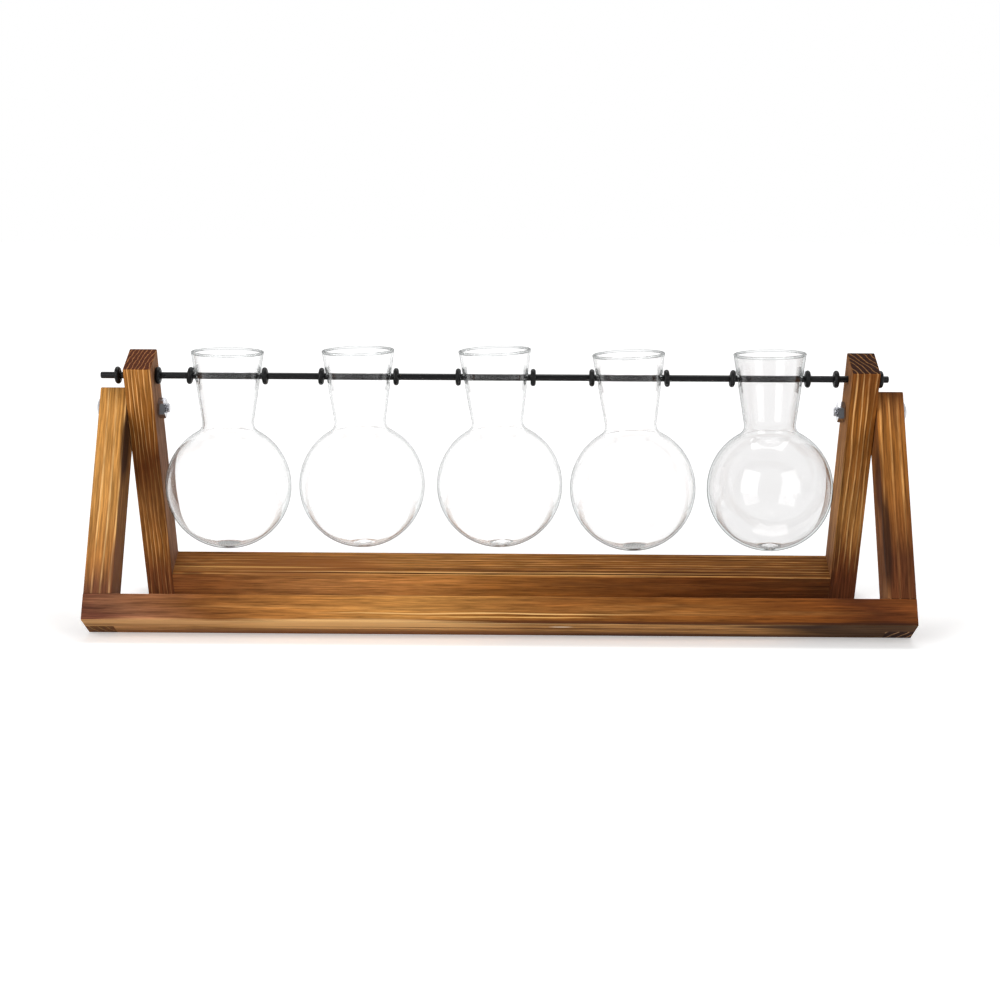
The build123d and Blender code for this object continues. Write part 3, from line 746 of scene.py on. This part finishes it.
def blownGlass(name, look, clearTint, lineTones, lineShare):
    # Borosilicate glass, blown and flame polished: mirror smooth with the slight swell of hand work, clear
    # face on; where the wall is edge on, painted shade and reflection turn it grey, then dark in a thin
    # line
    material, tree = newMaterial(name)
    where = addNode(tree, "TexCoord").outputs
    swell = addNode(tree, "TexNoise", {"Scale": 1 / (look["swellSize"] * mm), "Detail": 1.0},
                    {"Vector": where["Object"]})
    bump = addNode(tree, "Bump", {"Strength": 0.25, "Distance": look["swellDepth"] * mm}, {"Height": swell})
    # the painted edge grey is stronger low down, where the wall turns towards the table, and wider on the
    # narrow neck
    facing = addNode(tree, "LayerWeight", {"Blend": 0.5}).outputs["Facing"]
    parts = addNode(tree, "SeparateXYZ", links={0: where["Object"]})
    neckHeights, lineHeights = ([v * mm for v in look[key]] for key in ("neckHeights", "lineHeights"))
    spread = addNode(tree, "MapRange", fromTo(neckHeights, (1.0, look["neckSpread"])),
                     {0: parts.outputs["Z"]})
    edgeOn = addNode(tree, "Math", links={0: facing, 1: spread}, operation="POWER")
    lineFade = [share * lineShare for share in look["lineFade"]]
    low = addNode(tree, "MapRange", fromTo(lineHeights, lineFade), {0: parts.outputs["Z"]})
    wallTone = addNode(tree, "ValToRGB", links={0: edgeOn}, stops=look["wallTones"])
    tint = addNode(tree, "Mix", {6: "#ffffff"}, {0: low, 7: wallTone}, data_type="RGBA").outputs[2]
    tinted = addNode(tree, "VectorMath", {1: hexColour(clearTint)[:3]}, {0: tint}, operation="MULTIPLY")
    shader = addNode(tree, "BsdfPrincipled",
                     {"Roughness": 0.0, "IOR": look["ior"], "Specular Tint": look["gloss"],
                      "Transmission Weight": 1.0}, {"Base Color": tinted, "Normal": bump})
    # the painted outline: a grey to dark line of painted shade and reflection where the wall is edge on
    start = lineTones[0][0]
    line = addNode(tree, "MapRange", {1: start - look["lineBlend"], 2: start}, {0: edgeOn},
                   interpolation_type="SMOOTHSTEP")
    lineMask = addNode(tree, "Math", links={0: line, 1: low}, operation="MULTIPLY")
    lineTone = addNode(tree, "ValToRGB", links={0: edgeOn}, stops=lineTones)
    edge = addNode(tree, "BsdfTransparent", links={"Color": lineTone})
    lined = addNode(tree, "MixShader", links={0: lineMask, 1: shader, 2: edge})
    # light passes straight through to the table, with a faint loss
    rays = addNode(tree, "LightPath").outputs
    clear = addNode(tree, "BsdfTransparent", {"Color": look["shadowTint"]})
    mix = addNode(tree, "MixShader", links={0: rays["Is Shadow Ray"], 1: lined, 2: clear})
    addNode(tree, "OutputMaterial", links={"Surface": mix})
    return material


def groundGlass(look):
    # The same glass, ground flat where the pontil came off: frosted with a fine grit, its dark grey partly
    # painted shade
    material, tree = newMaterial("groundBorosilicateGlass")
    where = addNode(tree, "TexCoord").outputs
    grit = addNode(tree, "TexNoise", {"Scale": 1 / (look["gritSize"] * mm), "Detail": 2.0},
                   {"Vector": where["Object"]})
    roughness = addNode(tree, "MapRange", fromTo(noiseSpan, look["groundRoughness"]), {0: grit})
    shader = addNode(tree, "BsdfPrincipled",
                     {"Base Color": look["groundFrostAndShade"], "IOR": look["ior"],
                      "Specular IOR Level": look["groundSpecular"],
                      "Transmission Weight": 1 - look["groundShare"]}, {"Roughness": roughness})
    addNode(tree, "OutputMaterial", links={"Surface": shader})
    return material


# the rim's bead and the grey line under it carry the same painted shade and reflection; the inside draws
# none
insideGlass = blownGlass("blownBorosilicateGlass_inside", vaseLook, "#ffffff", vaseLook["lineTones"], 0.0)
rimShare = vaseLook["rimShare"] / vaseLook["lineFade"][1]
rimGlass = blownGlass("flamePolishedRim", vaseLook, "#ffffff", vaseLook["rimTones"], rimShare)
footGlass = blownGlass("flamePolishedRim_foot", vaseLook, "#ffffff", vaseLook["footTones"], rimShare)
frosted = groundGlass(vaseLook)


def vaseWall(look, lift, inset):
    # points (radius, height over the rod's axis) up the outer wall, or up the inner one when inset is the
    # wall; then the neck's radius at a height, and the row the patches start at
    bulb = look["bulbDiameter"] / 2
    top = look["rimAboveRod"] + lift
    bottom = top - look["height"]
    centre = bottom + math.sqrt(bulb ** 2 - (look["baseFlatDiameter"] / 2) ** 2)
    taper = (look["rimDiameter"] - look["neckFootDiameter"]) / 2 / look["neckHeight"]
    slant = math.sqrt(1 + taper ** 2)
    radius, roundness = bulb - inset, look["shoulderRound"] + inset

    def neckAt(z):
        return look["neckFootDiameter"] / 2 + taper * (z - top + look["neckHeight"]) - inset * slant

    # centre of the shoulder's hollow curve, and where it meets the bulb and the neck
    aside = neckAt(centre) + roundness * slant
    qa, qb, qc = 1 + taper ** 2, 2 * aside * taper, aside ** 2 - (radius + roundness) ** 2
    climb = (-qb + math.sqrt(qb ** 2 - 4 * qa * qc)) / (2 * qa)
    hollow = Vector((aside + taper * climb, centre + climb))
    middle = Vector((0, centre))
    joinBulb = middle + (hollow - middle) * radius / (radius + roundness)
    joinNeck = hollow - Vector((1, -taper)) / slant * roundness
    floor = bottom + inset
    flat = math.sqrt(max(radius ** 2 - (centre - floor) ** 2, 1.0))  # at least 1 mm
    # the dimple under the bulb, and the mound inside over it
    rise = look["floorMound"] if inset else look["baseDimple"]
    points = []
    for i in range(look["flatRows"]):
        r = flat * i / look["flatRows"]
        turn = math.pi * min(r / (flat * look["dimpleShare"]), 1)
        points.append((r, floor + rise * (math.cos(turn) + 1) / 2))
    start, stop = math.atan2(floor - centre, flat), math.atan2(joinBulb.y - centre, joinBulb.x)
    for i in range(look["bulbRows"] + 1):
        angle = start + (stop - start) * i / look["bulbRows"]
        points.append((radius * math.cos(angle), centre + radius * math.sin(angle)))
    start = math.atan2(joinBulb.y - hollow.y, joinBulb.x - hollow.x) % (2 * math.pi)
    stop = math.atan2(joinNeck.y - hollow.y, joinNeck.x - hollow.x) % (2 * math.pi)
    for i in range(1, look["shoulderRows"] + 1):
        angle = start + (stop - start) * i / look["shoulderRows"]
        points.append((hollow.x + roundness * math.cos(angle), hollow.y + roundness * math.sin(angle)))
    patchLow = -look["holeDrop"] - look["patchHalf"] * look["patchCell"]
    patchHigh = -look["holeDrop"] + look["patchHalf"] * look["patchCell"]
    neckRows, rimRows = look["neckRows"], look["rimRows"]
    heights = [joinNeck.y + (patchLow - joinNeck.y) * i / neckRows for i in range(1, neckRows)]
    patchStart = len(points) + len(heights)
    heights += [patchLow + look["patchCell"] * i for i in range(2 * look["patchHalf"] + 1)]
    # the bead's side, proud of the wall
    bead = look["beadRadius"]
    aside = look["wall"] - bead + look["beadProud"] if inset else bead - look["beadProud"]
    rimFoot = top - bead - math.sqrt(bead ** 2 - aside ** 2)
    lineFoot = rimFoot - look["rimLine"]
    heights += [patchHigh + (lineFoot - patchHigh) * i / rimRows for i in range(1, rimRows + 1)] + [rimFoot]
    return points + [(neckAt(z), z) for z in heights], neckAt, patchStart


def cutHole(vertices, faces, look, side, holeZ, outerLoop, innerLoop, outerAt, innerAt):
    # a hanging hole, with a flame polished half round edge from the outer wall to the inner one
    holeRadius, halfWall = look["holeDiameter"] / 2, look["wall"] / 2
    angles = [math.atan2(vertices[v][2] - holeZ, vertices[v][1]) for v in outerLoop]
    loops = [outerLoop]

    def addLoop(places):
        loops.append(list(range(len(vertices), len(vertices) + len(places))))
        vertices.extend(places)

    def addWallLoop(radiusAt, boundary, share):
        places = []
        for v, angle in zip(boundary, angles):
            y = (holeRadius + halfWall) * math.cos(angle)
            z = holeZ + (holeRadius + halfWall) * math.sin(angle)
            y, z = (old * (1 - share) + new * share for old, new in zip(vertices[v][1:], (y, z)))
            places.append((side * math.sqrt(radiusAt(z) ** 2 - y ** 2), y, z))
        addLoop(places)

    wallRows, edgeRows = look["holeWallRows"], look["holeEdgeRows"]
    for i in range(1, wallRows + 1):
        addWallLoop(outerAt, outerLoop, i / wallRows)
    for i in range(1, edgeRows):
        turn = math.pi * i / edgeRows
        reach = holeRadius + halfWall * (1 - math.sin(turn))
        share = (1 - math.cos(turn)) / 2
        places = []
        for angle in angles:
            y, z = reach * math.cos(angle), holeZ + reach * math.sin(angle)
            outX, inX = (math.sqrt(radiusAt(z) ** 2 - y ** 2) for radiusAt in (outerAt, innerAt))
            places.append((side * ((1 - share) * outX + share * inX), y, z))
        addLoop(places)
    for i in range(wallRows, 0, -1):
        addWallLoop(innerAt, innerLoop, i / wallRows)
    loops.append(innerLoop)
    for one, two in zip(loops, loops[1:]):
        for i in range(len(one)):
            k = (i + 1) % len(one)
            faces.append((one[i], one[k], two[k], two[i]))


def makeVase(number, look):
    rise, lean = look["rises"][number - 1], math.radians(look["leans"][number - 1])
    around, half = look["around"], look["patchHalf"]
    outer, outerAt, patchRow = vaseWall(look, rise, 0.0)
    inner, innerAt, patchRow = vaseWall(look, rise, look["wall"])
    # the rim's bead, from the outer wall over the top to the inner wall
    bead = look["beadRadius"]
    beadZ = look["rimAboveRod"] + rise - bead
    beadR = outerAt(beadZ) + look["beadProud"] - bead
    first = math.atan2(outer[-1][1] - beadZ, outer[-1][0] - beadR)
    last = math.atan2(inner[-1][1] - beadZ, inner[-1][0] - beadR) % (2 * math.pi)
    turns = [first + (last - first) * i / look["lipRows"] for i in range(1, look["lipRows"])]
    lip = [(beadR + bead * math.cos(turn), beadZ + bead * math.sin(turn)) for turn in turns]
    profile = outer + lip + inner[::-1]

    def innerRow(row):
        return len(profile) - 1 - row

    def atPole(row):
        return profile[row][0] < 1e-6

    vertices, faces, faceMaterials, rowStart = [], [], [], []
    for row, (r, z) in enumerate(profile):
        rowStart.append(len(vertices))
        for j in range(1 if atPole(row) else around):
            angle = 2 * math.pi * j / around
            vertices.append((r * math.cos(angle), r * math.sin(angle), z))

    def at(row, j):
        return rowStart[row] + (0 if atPole(row) else j % around)

    def inPatch(low, j):
        # the patches lie round columns 0 and half way round
        return (j + half) % (around // 2) < 2 * half and patchRow <= low < patchRow + 2 * half

    materials = {
        "outside": blownGlass(f"blownBorosilicateGlass_{number}", look, look["clearTints"][number - 1],
                              look["lineTones"], look["lineShares"][number - 1]),
        "ground": frosted, "rim": rimGlass, "inside": insideGlass, "foot": footGlass,
    }
    slots = list(materials)
    groundRows = [share * look["flatRows"] for share in look["groundSpans"][number - 1]]
    for row in range(len(profile) - 1):
        outside = row < len(outer)
        onLip = len(outer) - 1 <= row < len(outer) + len(lip)
        low = row if outside else innerRow(row) - 1
        if not outside and groundRows[0] <= low < groundRows[1]:
            slot = "ground"
        elif row == len(outer) - 2:
            slot = "foot"
        else:
            slot = "rim" if onLip else "outside" if outside else "inside"
        for j in range(around):
            if onLip or not inPatch(low, j):
                corners = [at(row, j), at(row, j + 1), at(row + 1, j + 1), at(row + 1, j)]
                faces.append(tuple(dict.fromkeys(corners)))
                faceMaterials.append(slots.index(slot))
    # the two hanging holes, level with each other though the vase leans
    middleRow = patchRow + half
    edge = [(-half, c) for c in range(-half, half)] + [(r, half) for r in range(-half, half)]
    edge += [(half, c) for c in range(half, -half, -1)] + [(r, -half) for r in range(half, -half, -1)]
    for side, column in ((1, 0), (-1, around // 2)):
        holeZ = -look["holeDrop"] * math.cos(lean) - side * outerAt(0) * math.sin(lean)
        outerLoop = [at(middleRow + r, column + c) for r, c in edge]
        innerLoop = [at(innerRow(middleRow + r), column + c) for r, c in edge]
        cutHole(vertices, faces, look, side, holeZ, outerLoop, innerLoop, outerAt, innerAt)
    faceMaterials += [slots.index("outside")] * (len(faces) - len(faceMaterials))
    joint = next(j for j in frame["joints"] if j["name"] == f"vase_{number}_swing")
    leaning = Matrix.Rotation(-lean, 3, "Y")
    vertices = [Vector(joint["pos_m"]) + leaning @ (Vector(v) * mm) for v in vertices]
    finishPiece(f"vase_{number}_blown", vertices, faces, list(materials.values()), f"vase_{number}_body",
                [f"vase_{number}"], faceMaterials)


for number in range(1, 6):
    makeVase(number, vaseLook)
print("stage: vases")
